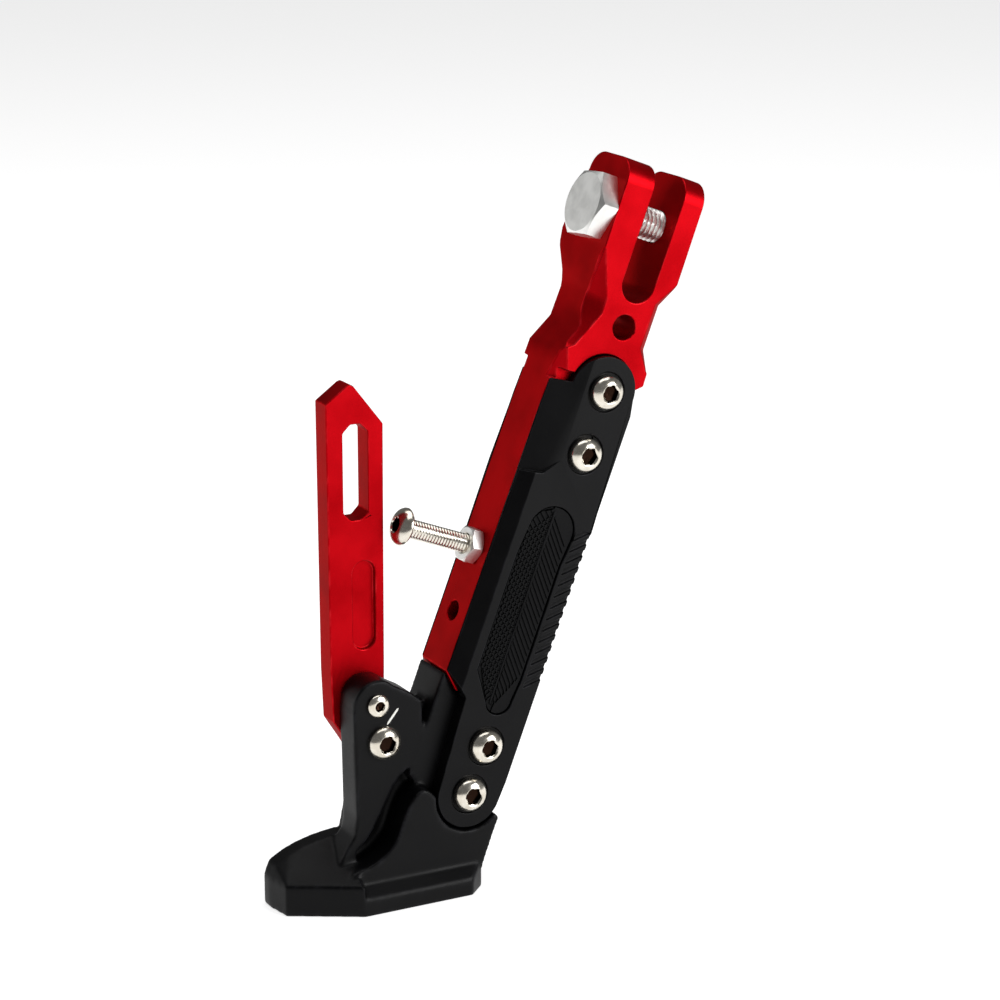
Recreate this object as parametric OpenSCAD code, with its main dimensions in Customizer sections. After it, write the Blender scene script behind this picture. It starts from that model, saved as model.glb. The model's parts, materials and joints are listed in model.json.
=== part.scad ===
// Motorcycle side stand (kickstand), built up from machined aluminium pieces.
// Units are millimetres, +Z is up, the sole rests flat on the ground.
// Origin: centre of the pivot, on the bolt axis, midway across the clevis gap.
// +X is the way the leg leans up from the toe to the bike, -Y is the front face.

/* [Leg] */
// lean of the leg from the vertical, degrees
lean = 21.2; // [10:0.5:30]
// height of the pivot above the ground
pivot_h = 197.5; // [150:0.5:260]
// leg face on the toe side, measured across the leg from the screw line
leg_left = 18; // [14:0.5:24]
// leg face on the bike side, measured across the leg from the screw line
leg_right = 11; // [9:0.5:16]
// thickness of the core between the two covers
core_t = 16; // [12:0.5:24]
// lower end of the arm tongue, below the pivot
tongue_end = 150; // [120:1:180]

/* [Clevis] */
// width of the gap that takes the lug of the motorcycle
gap_w = 11; // [8:0.5:16]
// outer face of the toe-side ear, from the screw line
ear_left = 15.4; // [12:0.2:20]
// outer face of the bike-side ear, from the screw line
ear_right = 12.8; // [10:0.2:18]
// depth of the round floor of the gap, below the pivot
gap_floor = 23.6; // [18:0.2:32]
// top of the ears above the pivot
crown_top = 16.4; // [14:0.2:20]
// half depth of the neck
neck_y = 10.5; // [8:0.5:14]
// drain and spring hole through the neck, diameter
neck_hole_d = 7.6; // [5:0.1:10]
// neck hole below the pivot
neck_hole_s = 31.4; // [26:0.2:36]

/* [Pivot bolt] */
// nominal thread of the pivot bolt
pivot_d = 10; // [8:1:12]
// across flats of the hexagon head
pivot_af = 19; // [13:1:21]
// height of the hexagon head
pivot_head_h = 6; // [5:0.1:8]

/* [Covers] */
// height of a cover above the core
cover_t = 4.8; // [3:0.1:8]
// end radius of a cover
cover_r = 10.6; // [9:0.1:13]
// first cover screw below the pivot
screw_s1 = 51.2; // [48:0.1:56]
// spacing of the two upper cover screws
screw_gap_top = 19.6; // [15:0.1:25]
// third cover screw below the pivot
screw_s3 = 163.4; // [155:0.1:170]
// spacing of the two lower cover screws
screw_gap_low = 15.4; // [12:0.1:20]
// bevel along the toe-side edge of a cover, width on its face
cover_bevel_w = 3.8; // [2:0.1:6]

/* [Grip inserts] */
// upper end of the grip insert, below the pivot
grip_top = 88; // [80:1:95]
// lower end of the grip insert, below the pivot
grip_end = 153.5; // [140:0.5:156]
// width of the grip insert
grip_w = 16; // [9:0.5:18]
// depth of the pocket for the insert
grip_depth = 2.2; // [1:0.1:3]

/* [Foot] */
// length of the sole from toe to heel
sole_len = 63.5; // [50:0.5:90]
// width of the sole
sole_w = 35; // [28:1:50]
// toe end of the sole, from the origin
toe_x = -124; // [-140:1:-110]
// width of the toe end
toe_w = 14; // [10:1:24]
// thickness of the toe
toe_t = 9.6; // [7:0.1:14]
// half depth of the web
web_y = 13.4; // [11:0.1:16]
// height of the upright edge of the sole
edge_h = 4.6; // [3:0.1:7]

/* [Lever] */
// thickness of the lever plate
lever_t = 7.4; // [4:0.2:8]
// width of the lever plate
lever_w = 18.6; // [14:0.2:24]
// top of the lever plate, below the pivot
lever_top = 40; // [30:1:60]
// bottom of the lever plate, below the pivot
lever_end = 157; // [150:1:170]
// middle of the lever plate along X
lever_x = -93.9; // [-105:0.1:-85]
// width of the slots in the lever plate
lever_slot_w = 8; // [5:0.1:10]
// thickness of the ear that carries the lever
lug_t = 10.5; // [8:0.5:12]

/* [Spring post] */
// spring post below the pivot, along the leg
post_s = 107.4; // [95:0.1:125]
// free thread between the lock nut and the post head
post_free = 21; // [10:0.1:30]
// spare post hole below the pivot, along the leg
spare_s = 127.8; // [115:0.1:140]
// diameter of the domed post head
post_head_d = 11.6; // [9:0.5:14]

/* [Fasteners] */
// nominal thread of the cover, lever and post screws
screw_d = 6; // [5:1:8]
// head diameter of the cover screws
head_d = 10.5; // [8:0.1:14]
// head height of the cover screws
head_h = 3.3; // [2:0.1:5]
// hexagon socket across flats
socket_af = 4; // [3:0.5:6]
// nominal thread of the small lever screw
small_d = 4; // [3:0.5:5]

/* [Hidden] */
$fn = 64;
// radial clearance of a running fit
run_gap = 0.05;
// gap between pieces that stay clear of each other
side_gap = 0.3;
// shortest step used to make two solids share material
eps = 0.01;

core_y = core_t / 2;
cover_y = core_y + cover_t;
gap_r = gap_w / 2;
ground_z = -pivot_h;
toe_top_z = ground_z + toe_t;
heel_x = toe_x + sole_len;
screw_s2 = screw_s1 + screw_gap_top;
screw_s4 = screw_s3 + screw_gap_low;

// shoulder where the neck ends and the covers start
shoulder_s = 48.5;
shoulder_left = leg_left - 0.4;
// the core grows a little wider towards its lower end
tongue_left = leg_left + 0.8;
core_right = leg_right - 0.3;
shank_left = tongue_left + 0.5;
// corner radii of the crown, seen from the side, and its back face
crown_front_r = 7.2;
crown_back_r = 6;
crown_back_y = 12.5;
// waist of the neck, seen from the front
waist_left = 13.6;
waist_right = 11;
// bevels of the neck, depth across the corner
bevel_left = 3.3;
bevel_right = 2.2;
bevel_shoulder = 3.4;

// far end of the pivot bolt, inside the bike-side ear
pivot_tip = ear_right - 0.8;

// grip insert: middle line and edge margins
grip_x = -3.5;
rib_count = 14;
rib_pitch = 3.6;
rib_depth = 0.7;

// ear for the lever plate, and the screws through it
lug_back = 2.6;
lug_front = lug_back - lug_t;
lug_left = -100.4;
lug_top_r = 7.6;
relief_y = -3;
// ridge of the toe, front to back, and the end of the toe block
toe_ridge_y = [3.5, 9];
toe_end_x = toe_x + 22;
lever_z_top = -lever_top;
lever_z_end = -lever_end;
e1_x = -92.6;
e1_z = -135.4;
e2_x = -90.7;
e2_z = -147.3;

// screws: thread length, socket depth share and post sizes
screw_len = cover_t + 6.6;
lever_len = lug_t + lever_t - 1;
post_grip = 9;
nut_t = 4;
// the side of the core is a little wider at the nut than at the shoulder
nut_stand = 0.52;
nut_af = 10;
post_head_h = 3.4;

// ---- helpers ---------------------------------------------------------------

// Turns the leaning frame of the leg upright into the shared frame:
// x runs across the leg, y front to back, z up along the leg.
module leg() {
    rotate([0, lean, 0]) children();
}

// Extrudes an outline drawn in the XZ plane from y0 to y1.
module slab(y0, y1) {
    translate([0, y1, 0]) rotate([90, 0, 0]) linear_extrude(y1 - y0) children();
}

// Extrudes an outline drawn in the YZ plane from x0 to x1.
module slice(x0, x1) {
    translate([x0, 0, 0]) rotate([90, 0, 90]) linear_extrude(x1 - x0) children();
}

// Round bar along X between x0 and x1.
module bar_x(x0, x1, d) {
    translate([x0, 0, 0]) rotate([0, 90, 0]) cylinder(h = x1 - x0, d = d);
}

// Round bar along Y between y0 and y1.
module bar_y(y0, y1, d) {
    translate([0, y0, 0]) rotate([-90, 0, 0]) cylinder(h = y1 - y0, d = d);
}

// Stadium shaped slot, both ends round, drawn along the second axis.
module slot_2d(w, z0, z1) {
    translate([-w / 2, z0 + w / 2]) square([w, z1 - z0 - w]);
    translate([0, z0 + w / 2]) circle(d = w);
    translate([0, z1 - w / 2]) circle(d = w);
}

// Slot with its four corners cut off by c, drawn along the second axis.
module chamfered_slot_2d(w, z0, z1, c) {
    h = w / 2;
    polygon([
        [-h, z0 + c], [-h + c, z0], [h - c, z0], [h, z0 + c],
        [h, z1 - c], [h - c, z1], [-h + c, z1], [-h, z1 - c]
    ]);
}

// Point of a spline from b to c, steered by the neighbours a and d.
function spline_point(a, b, c, d, t) =
    0.5 * (2 * b + (c - a) * t + (2 * a - 5 * b + 4 * c - d) * t * t
        + (3 * b - a - 3 * c + d) * t * t * t);

// Smooth curve through the points; the first and the last only steer it.
function curve(points, steps) = [
    for (i = [1 : len(points) - 3], k = [0 : steps - 1])
        spline_point(points[i - 1], points[i], points[i + 1],
            points[i + 2], k / steps)
];

// Hexagon by its distance across flats.
module hex_2d(af) {
    circle(d = af / cos(30), $fn = 6);
}

// Button head screw, head seat at z = 0, head up, with a hexagon socket.
module button_screw(d, len, hd, hh, af) {
    difference() {
        union() {
            translate([0, 0, -len]) cylinder(h = len + eps, d = d - 2 * run_gap);
            rotate_extrude() button_profile(hd / 2, hh);
        }
        translate([0, 0, hh * 0.35]) linear_extrude(hh) hex_2d(af);
    }
}

// Half outline of a button head: short rim, domed top, flat crown.
module button_profile(r, h) {
    dome_r = (r * r + h * h) / (2 * h) * 1.02;
    intersection() {
        square([r, h]);
        translate([0, h - dome_r]) circle(r = dome_r);
    }
}

// ---- upper arm -------------------------------------------------------------

// Outline of the arm from the front.
module arm_front_2d() {
    polygon([
        [-ear_left, 20], [-ear_left, -13], [-waist_left, -24],
        [-waist_left, -35], [-shoulder_left, -43.5],
        [-shoulder_left, -shoulder_s], [-leg_left, -60],
        [-tongue_left, -tongue_end + 5], [-tongue_left + 5.5, -tongue_end],
        [core_right - 3, -tongue_end], [core_right, -tongue_end + 3],
        [core_right, -shoulder_s], [ear_right + 0.5, -shoulder_s + 2],
        [ear_right + 0.3, -42], [waist_right, -36.5], [waist_right, -22.5],
        [ear_right + 0.4, -16], [ear_right, 20]
    ]);
}

// Outline of the arm from the side: flat crown, rear heel, neck and tongue.
module arm_side_2d() {
    intersection() {
        union() {
            translate([crown_front_r - neck_y, crown_top - crown_front_r])
                circle(r = crown_front_r);
            translate([crown_back_y - crown_back_r, crown_top - crown_back_r])
                circle(r = crown_back_r);
            polygon([
                [-neck_y, crown_top - crown_front_r], [-neck_y, -shoulder_s],
                [neck_y, -shoulder_s], [neck_y - 1, -26], [11, -21], [15, -14.5],
                [16.6, -9], [15.4, 0], [crown_back_y, crown_top - crown_back_r],
                [crown_back_y - crown_back_r, crown_top],
                [crown_front_r - neck_y, crown_top]
            ]);
        }
        translate([-neck_y, -60]) square([40, 80]);
    }
    translate([-core_y, -tongue_end]) square([core_t, tongue_end - 40]);
}

// Gap for the lug of the motorcycle, with a round floor.
module gap_2d() {
    translate([0, -gap_floor + gap_r]) circle(r = gap_r);
    translate([-gap_r, -gap_floor + gap_r]) square([gap_w, gap_floor + 20]);
}

// Corner bevel of the neck: an outline of depth against height, cut at 45
// degrees across the front corner at x.
module corner_bevel(x, side) {
    translate([x, -neck_y, 0]) rotate([0, 0, side > 0 ? -45 : -135])
        slab(-30, 30) children();
}

// Seat and window that clear the top of a cover, front or back.
module cover_seat_2d() {
    translate([-0.6, -screw_s1]) circle(r = cover_r + side_gap);
    translate([-30, -tongue_end - 10]) square([60, tongue_end + 10 - screw_s1 - 1]);
}

module upper_arm() {
    color("#c8202c") leg() difference() {
        intersection() {
            slab(-40, 40) arm_front_2d();
            slice(-30, 30) arm_side_2d();
        }
        slab(-40, 40) gap_2d();
        corner_bevel(-waist_left, -1)
            polygon([
                [0.9, -11], [-bevel_left, -25], [-bevel_left, -29.5], [0.5, -40.5],
                [20, -60], [20, 10]
            ]);
        corner_bevel(-shoulder_left, -1)
            polygon([
                [-0.4, -40.5], [-bevel_shoulder, -52], [20, -52], [20, -38]
            ]);
        corner_bevel(waist_right, 1)
            polygon([
                [1.2, -15], [-bevel_right, -22], [-bevel_right, -36], [0.9, -42],
                [20, -60], [20, 10]
            ]);
        slab(-40, -core_y) cover_seat_2d();
        slab(core_y, 40) cover_seat_2d();
        bar_x(-40, 40, pivot_d + 2 * run_gap);
        translate([0, 0, -neck_hole_s]) bar_y(-30, 30, neck_hole_d);
        for (s = [screw_s1, screw_s2])
            translate([0, 0, -s]) bar_y(-30, 30, screw_d);
        for (s = [post_s, spare_s])
            translate([0, 0, -s]) bar_x(-30, -leg_left + 12, screw_d);
    }
}

// ---- covers ----------------------------------------------------------------

// Outline of a cover: wide beside the tongue, narrow beside the foot.
module cover_2d(grow = 0) {
    translate([-0.6, -screw_s1]) circle(r = cover_r + grow);
    translate([0, -screw_s4]) circle(r = cover_r + grow);
    polygon([
        [-0.6 - cover_r - grow, -screw_s1], [-shoulder_left, -screw_s1 - 1],
        [-leg_left, -60], [-tongue_left, -tongue_end + 5.5],
        [-12.2 - grow, -tongue_end - 0.5], [-cover_r - grow, -screw_s4],
        [cover_r + grow, -screw_s4], [leg_right + grow, -screw_s4 + 6],
        [leg_right + grow, -screw_s1 - 5], [cover_r - 0.6 + grow, -screw_s1]
    ]);
}

// Outline of the grip pocket, or of the insert when shrunk.
module grip_2d(shrink = 0) {
    r = grip_w / 2 - shrink;
    translate([grip_x + 1, -grip_top - grip_w / 2]) circle(r = r);
    translate([-0.8, -grip_end + 4.5]) circle(r = 4.5 - shrink);
    polygon([
        [grip_x - grip_w / 2 + shrink, -grip_top - 17],
        [grip_x + 1 - grip_w / 2 + shrink, -grip_top - grip_w / 2],
        [grip_x + 1 + grip_w / 2 - shrink, -grip_top - grip_w / 2],
        [grip_x + grip_w / 2 - shrink, -grip_top - 17],
        [grip_x + grip_w / 2 - shrink, -grip_end + 12],
        [3.6 - shrink, -grip_end + 4.5], [-5 + shrink, -grip_end + 3],
        [grip_x - grip_w / 2 + shrink, -grip_end + 12]
    ]);
}

// Scoop along the upper toe-side edge, cut at a shallow angle into the face.
module cover_scoop() {
    translate([-7.4, -cover_y, 0]) rotate([0, 0, -22])
        slab(-20, 0) polygon([
            [0, -30], [0, -74], [-4.2, -79.5], [-30, -84], [-30, -30]
        ]);
}

// Bevel along the toe-side edge of a cover, w wide on its face.
module cover_edge_bevel(w) {
    translate([-leg_left - 0.3 + w, -cover_y, 0]) rotate([0, 0, -46])
        slab(-20, 0) translate([-30, -170]) square([30, 140]);
}

// One slanted rib groove beside the grip pocket.
module rib_groove() {
    rotate([0, -37, 0]) translate([0, -cover_y - 1, 0])
        cube([16, 1 + rib_depth, 1.4]);
}

// Front cover, drawn in the leg frame.
module cover_body() {
    difference() {
        slab(-cover_y, -core_y) cover_2d();
        cover_scoop();
        cover_edge_bevel(cover_bevel_w);
        slab(-cover_y - 1, -cover_y + grip_depth) grip_2d();
        intersection() {
            for (i = [0 : rib_count - 1])
                translate([5.6, 0, -97 - i * rib_pitch]) rib_groove();
            slab(-20, 0) translate([5.8, -144]) square([20, 51]);
        }
        for (s = [screw_s1, screw_s2, screw_s3, screw_s4])
            translate([0, 0, -s]) bar_y(-30, 0, screw_d + 0.6);
    }
}

module front_cover() {
    color("#2b2b2e") leg() cover_body();
}

module back_cover() {
    color("#2b2b2e") leg() mirror([0, 1, 0]) cover_body();
}

// Grip insert, drawn in the leg frame, bedded on the pocket floor.
module insert_body() {
    y0 = -cover_y + grip_depth;
    slab(-cover_y + 0.5, y0) grip_2d(side_gap);
    slab(-cover_y, y0) difference() {
        grip_2d(1.4);
        translate([grip_x - 20, -200]) square([19.6, 200]);
        translate([grip_x + 0.4, -200]) square([20, 200]);
    }
}

module front_grip_insert() {
    color("#3a3a3f") leg() insert_body();
}

module back_grip_insert() {
    color("#3a3a3f") leg() mirror([0, 1, 0]) insert_body();
}

// ---- foot ------------------------------------------------------------------

// Plan of the sole: narrow toe end, widening to the full width, cut heel.
module sole_plan_2d() {
    polygon([
        [toe_x + 1.6, -toe_w / 2 + 1], [toe_x + 22, -sole_w / 2],
        [heel_x - 5.5, -sole_w / 2], [heel_x, -sole_w / 2 + 5],
        [heel_x, sole_w / 2 - 5], [heel_x - 5.5, sole_w / 2],
        [toe_x + 20, sole_w / 2], [toe_x + 12, sole_w / 2 - 2.5],
        [toe_x, toe_w / 2], [toe_x, toe_w / 2 - 4]
    ]);
}

// Cross section of the sole behind the toe: upright edge, groove and bevel.
module sole_section_2d() {
    for (m = [0, 1]) mirror([m, 0]) polygon([
        [0, ground_z], [sole_w / 2, ground_z], [sole_w / 2, ground_z + edge_h],
        [sole_w / 2 - 0.6, ground_z + edge_h + 0.5],
        [sole_w / 2 - 0.3, ground_z + edge_h + 0.9],
        [web_y, toe_top_z - 0.8], [0, toe_top_z - 0.8]
    ]);
}

// Web that rises from the sole to carry the covers.
module web_2d() {
    polygon(concat(curve([
        [-114, toe_top_z - 2], [-108.5, toe_top_z - 1], [-103, -185],
        [-98.3, -183.7], [-94.5, -181.9], [-91.6, -179.8], [-89.5, -177.2],
        [-88, -173.8], [-86.7, -170.2], [-85.1, -166.8], [-83.2, -164.1],
        [-81.4, -162.8], [-79.6, -162.6], [-77.8, -163.6], [-74, -168],
        [-70, -171]
    ], 3), [
        [-74, -168], [-60, -172], [-57.4, -173], [-54.8, -175.7],
        [-56.7, -180.2], [-60.5, -190.5], [-60.5, toe_top_z - 3],
        [-100, toe_top_z - 3]
    ]));
}

// Ear that carries the lever plate, with its column down to the toe.
module lug_2d() {
    translate([e1_x, e1_z]) circle(r = lug_top_r);
    polygon([
        [lug_left, e1_z - 1.5], [e1_x - 5, e1_z + 5.6], [e1_x, e1_z + lug_top_r],
        [-88.9, -129.2], [-82, -133], [-60, -150], [-60, -192],
        [-106, -192], [-106, toe_top_z + 3.6], [-102.6, toe_top_z + 9.4],
        [-100.4, -175.4], [-99.7, -170], [-99.8, -165]
    ]);
}

// Ridge of the toe, rising to the foot of the column.
module toe_ridge_2d() {
    polygon([
        [toe_x + 2.4, toe_top_z + 3.2], [toe_x + 7, toe_top_z + 5.8],
        [toe_x + 11.3, toe_top_z + 7.4], [toe_x + 17, toe_top_z + 8.8],
        [toe_x + 24.6, toe_top_z + 9.8], [toe_x + 24.6, ground_z + 2],
        [toe_x + 2.4, ground_z + 2]
    ]);
}

// Toe block: its top slopes up from the front edge to the ridge.
module toe_body() {
    hull() {
        intersection() {
            translate([0, 0, ground_z]) linear_extrude(toe_t) sole_plan_2d();
            slice(toe_x - 1, toe_end_x) translate([-30, ground_z])
                square([60, toe_t]);
        }
        slab(toe_ridge_y[0], toe_ridge_y[1]) toe_ridge_2d();
    }
}

// Front relief between the column, the shank and the web.
module relief_2d() {
    polygon(concat([[-77.8, -128]], curve([
        [-77.8, -146], [-77.8, -149], [-78.6, -153], [-81, -156],
        [-84.3, -158.2], [-87.3, -161.4], [-90.6, -167.7], [-94.2, -174],
        [-97.4, -178.2], [-100, -181], [-101, toe_top_z]
    ], 3), [
        [-100, -181], [-100, toe_top_z], [-60, toe_top_z], [-60, -128]
    ]));
}

// Shank that runs up between the covers, in the leg frame.
module shank_2d() {
    polygon([
        [-shank_left, -tongue_end + 4.9], [-tongue_left + 5.2, -tongue_end - 0.4],
        [core_right - 3, -tongue_end - 0.4], [core_right, -tongue_end - 3.2],
        [core_right, -200], [-shank_left, -178]
    ]);
}

module foot_body() {
    difference() {
        union() {
            toe_body();
            intersection() {
                translate([0, 0, ground_z]) linear_extrude(toe_t) sole_plan_2d();
                slice(toe_x + 15, heel_x + 1) sole_section_2d();
            }
            slab(-web_y, web_y) web_2d();
            slab(relief_y, lug_back) lug_2d();
            slab(lug_front, relief_y + 1) difference() {
                lug_2d();
                relief_2d();
            }
            slab(relief_y, core_y) polygon([
                [-96, -164], [-60, -164], [-60, -192], [-101, -192], [-98.5, -176]
            ]);
            leg() slab(-core_y, core_y) shank_2d();
        }
        // the sole is flat below
        translate([-150, -50, ground_z - 30]) cube([150, 100, 30]);
        // seats that clear the lower ends of the covers
        leg() slab(-40, -core_y) cover_2d(side_gap + 0.5);
        leg() slab(core_y, 40) cover_2d(side_gap + 0.5);
        // bed of the lever plate behind the ear
        slab(lug_back, 30) translate([lever_x - lever_w / 2 - 20, lever_z_end - 0.5])
            square([lever_w + 20.5, 60]);
        leg() for (s = [screw_s3, screw_s4])
            translate([0, 0, -s]) bar_y(-30, 30, screw_d);
        translate([e2_x, 0, e2_z]) bar_y(-30, 30, screw_d + 2 * run_gap);
        translate([e1_x, 0, e1_z]) bar_y(-30, 30, small_d + 2 * run_gap);
    }
}

module foot() {
    color("#262629") foot_body();
}

// ---- lever -----------------------------------------------------------------

// Outline of the lever plate with its off-centre point.
module lever_2d() {
    l = lever_x - lever_w / 2;
    r = lever_x + lever_w / 2;
    polygon([
        [l, lever_z_top - 5.2], [l + 6.8, lever_z_top - 0.4], [l + 7.8, lever_z_top],
        [l + 9, lever_z_top - 0.6], [r - 0.2, lever_z_top - 12.8],
        [r - 0.6, -127], [r - 1, lever_z_end + 4], [r - 5, lever_z_end],
        [l + 10, lever_z_end], [l + 5.4, -149.5], [l + 1, -142.5], [l + 0.4, -127]
    ]);
}

module lever_plate() {
    color("#c8202c") difference() {
        slab(lug_back, lug_back + lever_t) lever_2d();
        slab(0, 30) translate([lever_x + 0.1, 0])
            chamfered_slot_2d(lever_slot_w, -81, -52.1, 2.4);
        slab(0, lug_back + 1.6) translate([lever_x + 2.3, 0])
            slot_2d(lever_slot_w - 0.6, -121.2, -93.8);
        translate([e2_x, 0, e2_z]) bar_y(-30, 30, screw_d);
        translate([e1_x, 0, e1_z]) bar_y(-30, 30, small_d);
    }
}

// ---- hardware --------------------------------------------------------------

// Hexagon bolt on the pivot axis, its head on the toe-side ear.
module pivot_bolt() {
    color("#b9bcc0") leg() translate([-ear_left, 0, 0]) rotate([0, 90, 0]) {
        difference() {
            translate([0, 0, -pivot_head_h]) linear_extrude(pivot_head_h)
                rotate(24) hex_2d(pivot_af);
            // chamfer of the hexagon
            translate([0, 0, -pivot_head_h - eps]) rotate_extrude() polygon([
                [pivot_af / 2 - 0.3, 0], [pivot_af, 0],
                [pivot_af, 3.2], [pivot_af / 2 + 1.2, 0.9]
            ]);
        }
        translate([0, 0, -eps]) cylinder(h = pivot_tip + ear_left - 1, d = pivot_d);
        translate([0, 0, pivot_tip + ear_left - 1 - eps])
            cylinder(h = 1, d1 = pivot_d, d2 = pivot_d - 2);
    }
}

// Button head screws of one cover pair, drawn in the leg frame.
module cover_screws(positions) {
    for (s = positions)
        translate([0, -cover_y, -s]) rotate([90, 0, 0])
            button_screw(screw_d, screw_len, head_d, head_h, socket_af);
}

module front_arm_screws() {
    color("#c9ccd0") leg() cover_screws([screw_s1, screw_s2]);
}

module front_foot_screws() {
    color("#c9ccd0") leg() cover_screws([screw_s3, screw_s4]);
}

module back_arm_screws() {
    color("#c9ccd0") leg() mirror([0, 1, 0]) cover_screws([screw_s1, screw_s2]);
}

module back_foot_screws() {
    color("#c9ccd0") leg() mirror([0, 1, 0]) cover_screws([screw_s3, screw_s4]);
}

module lever_screw() {
    color("#c9ccd0") translate([e2_x, lug_front, e2_z]) rotate([90, 0, 0])
        button_screw(screw_d, lever_len, head_d, head_h, socket_af);
}

module lever_locating_screw() {
    color("#c9ccd0") translate([e1_x, lug_front, e1_z]) rotate([90, 0, 0])
        button_screw(small_d, lever_len, 7, 2, 2.5);
}

// Long screw that holds the return spring, its domed head facing the toe side.
module spring_post() {
    face = leg_left + nut_stand;
    reach = face + nut_t + post_free;
    color("#c9ccd0") leg() translate([0, 0, -post_s]) difference() {
        union() {
            bar_x(-reach - eps, -face + post_grip, screw_d - 2 * run_gap);
            translate([-reach, 0, 0]) rotate([0, -90, 0])
                rotate_extrude() button_profile(post_head_d / 2, post_head_h);
        }
        translate([-reach - 1.4, 0, 0]) rotate([0, -90, 0])
            linear_extrude(10) hex_2d(socket_af);
    }
}

// Thin lock nut that jams the post against the arm.
module spring_post_nut() {
    face = leg_left + nut_stand;
    color("#b9bcc0") leg() translate([-face - nut_t, 0, -post_s])
        rotate([0, 90, 0]) difference() {
            linear_extrude(nut_t) hex_2d(nut_af);
            translate([0, 0, -1]) cylinder(h = nut_t + 2, d = screw_d);
        }
}

upper_arm();
front_cover();
back_cover();
front_grip_insert();
back_grip_insert();
foot();
lever_plate();
pivot_bolt();
spring_post();
spring_post_nut();
front_arm_screws();
front_foot_screws();
back_arm_screws();
back_foot_screws();
lever_screw();
lever_locating_screw();
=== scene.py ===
"""Looks of a motorcycle side stand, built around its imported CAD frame.

Lengths are in millimetres in the dataclasses below, and MM turns them into the metres
that meshes hold. The leg frame has x across the leg, y front to back and z up the leg.
"""

import json
import logging
import math
from dataclasses import dataclass
from enum import Enum

import bmesh
import bpy
from mathutils import Matrix, Vector


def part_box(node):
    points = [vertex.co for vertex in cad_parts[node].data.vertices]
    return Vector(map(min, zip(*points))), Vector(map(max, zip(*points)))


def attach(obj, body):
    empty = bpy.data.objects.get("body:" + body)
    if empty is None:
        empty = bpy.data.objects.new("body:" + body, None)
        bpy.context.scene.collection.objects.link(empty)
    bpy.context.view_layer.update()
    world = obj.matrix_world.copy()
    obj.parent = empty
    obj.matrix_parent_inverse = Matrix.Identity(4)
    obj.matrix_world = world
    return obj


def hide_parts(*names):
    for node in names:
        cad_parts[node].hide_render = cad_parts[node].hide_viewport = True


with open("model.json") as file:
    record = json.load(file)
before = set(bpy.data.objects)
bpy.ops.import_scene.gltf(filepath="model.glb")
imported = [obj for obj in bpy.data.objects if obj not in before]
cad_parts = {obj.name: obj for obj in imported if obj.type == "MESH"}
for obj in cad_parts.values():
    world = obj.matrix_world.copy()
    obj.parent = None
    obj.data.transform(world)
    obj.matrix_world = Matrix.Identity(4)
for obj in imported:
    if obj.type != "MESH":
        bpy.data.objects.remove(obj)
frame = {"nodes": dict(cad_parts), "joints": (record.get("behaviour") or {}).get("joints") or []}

LOG = logging.getLogger("side_stand")
MM = 0.001
AROUND = 48  # points round a turned piece, a multiple of six so that hexagons keep corners
EDGE_LAYER = "edge"  # face attribute that marks a broken or rounded edge
PAINTED_SHADE_LAYER = "painted_shade"  # face attribute that marks the hollow of a socket, which gets painted shade
WELD_MM = 0.004  # corners of a CAD mesh closer than this are one corner
FLAT_DEGREES = 0.6  # triangles that meet flatter than this are one face
FACE_WEIGHT = 100  # large faces alone decide the shading at a broken edge
CHAMFER_DEGREES = 30  # slope of the chamfer on a bolt head or a nut
HEX_CORNER = math.radians(30)  # direction of a hexagon's corner
SOCKET_BEVEL_MM = 0.3  # how far the mouth of a socket is countersunk
SLIVER_MM = 0.01  # edges of squeezed ribs shorter than this are taken out


class Slot(Enum):
    """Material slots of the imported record."""

    RED = "red_anodised"
    BLACK = "black_anodised"
    INSERT = "black_insert"
    ZINC = "zinc_steel"
    SCREW = "screw_steel"


class Body(Enum):
    """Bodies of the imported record."""

    PIVOT = "pivot"
    LEG = "leg"


class Side(Enum):
    """Face of the leg that a piece sits on, as the sign of its outward y."""

    FRONT = -1
    BACK = 1


def leg_matrix() -> Matrix:
    """Turns the upright leg frame into the shared frame, from the axis of the fold joint."""
    axis = frame["joints"][0]["axis"]
    return Matrix.Rotation(math.atan2(axis[2], -axis[0]), 4, "Y")


LEG = leg_matrix()
LEAN = LEG.to_euler().y


# ---- shading ---------------------------------------------------------------------------


def linear(colour: str) -> tuple[float, float, float, float]:
    """Turns an sRGB hex colour into the linear RGBA that sockets take.

    Args:
        colour: Six hex digits after a hash sign.

    Returns:
        Linear red, green and blue from 0 to 1, and an alpha of 1.
    """
    parts = [int(colour[i : i + 2], 16) / 255 for i in (1, 3, 5)]
    red, green, blue = (c / 12.92 if c <= 0.04045 else ((c + 0.055) / 1.055) ** 2.4 for c in parts)
    return (red, green, blue, 1.0)


def add_node(tree: bpy.types.NodeTree, kind: str, settings: dict, inputs: dict) -> bpy.types.Node:
    """Adds one node with its settings, and fills or links its inputs.

    Args:
        tree: Shader or geometry tree that takes the node.
        kind: Blender's name of the node type.
        settings: Properties of the node by name.
        inputs: Input sockets by name or number; a socket as the value is linked.

    Returns:
        The new node.
    """
    node = tree.nodes.new(kind)
    for key, value in settings.items():
        setattr(node, key, value)
    for key, value in inputs.items():
        if isinstance(value, bpy.types.NodeSocket):
            tree.links.new(value, node.inputs[key])
        else:
            node.inputs[key].default_value = value
    return node


# How the noise patterns of every finish are cut to shape.
SCUFF_MM = (2.4, 2.4, 7.0)  # size of one rubbed patch on an edge
SCUFF_FROM = 0.62  # noise at which an edge without wear starts to show
SCUFF_REACH = 0.4  # how far full wear lowers that start
SCUFF_FULL = 0.66  # noise at which an edge is fully worn
STAIN_SPAN = (0.36, 0.64)  # noise between shade and colour
ROUGH_SPAN = (0.7, 1.3)  # sum of two noises between smooth and rough


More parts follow.
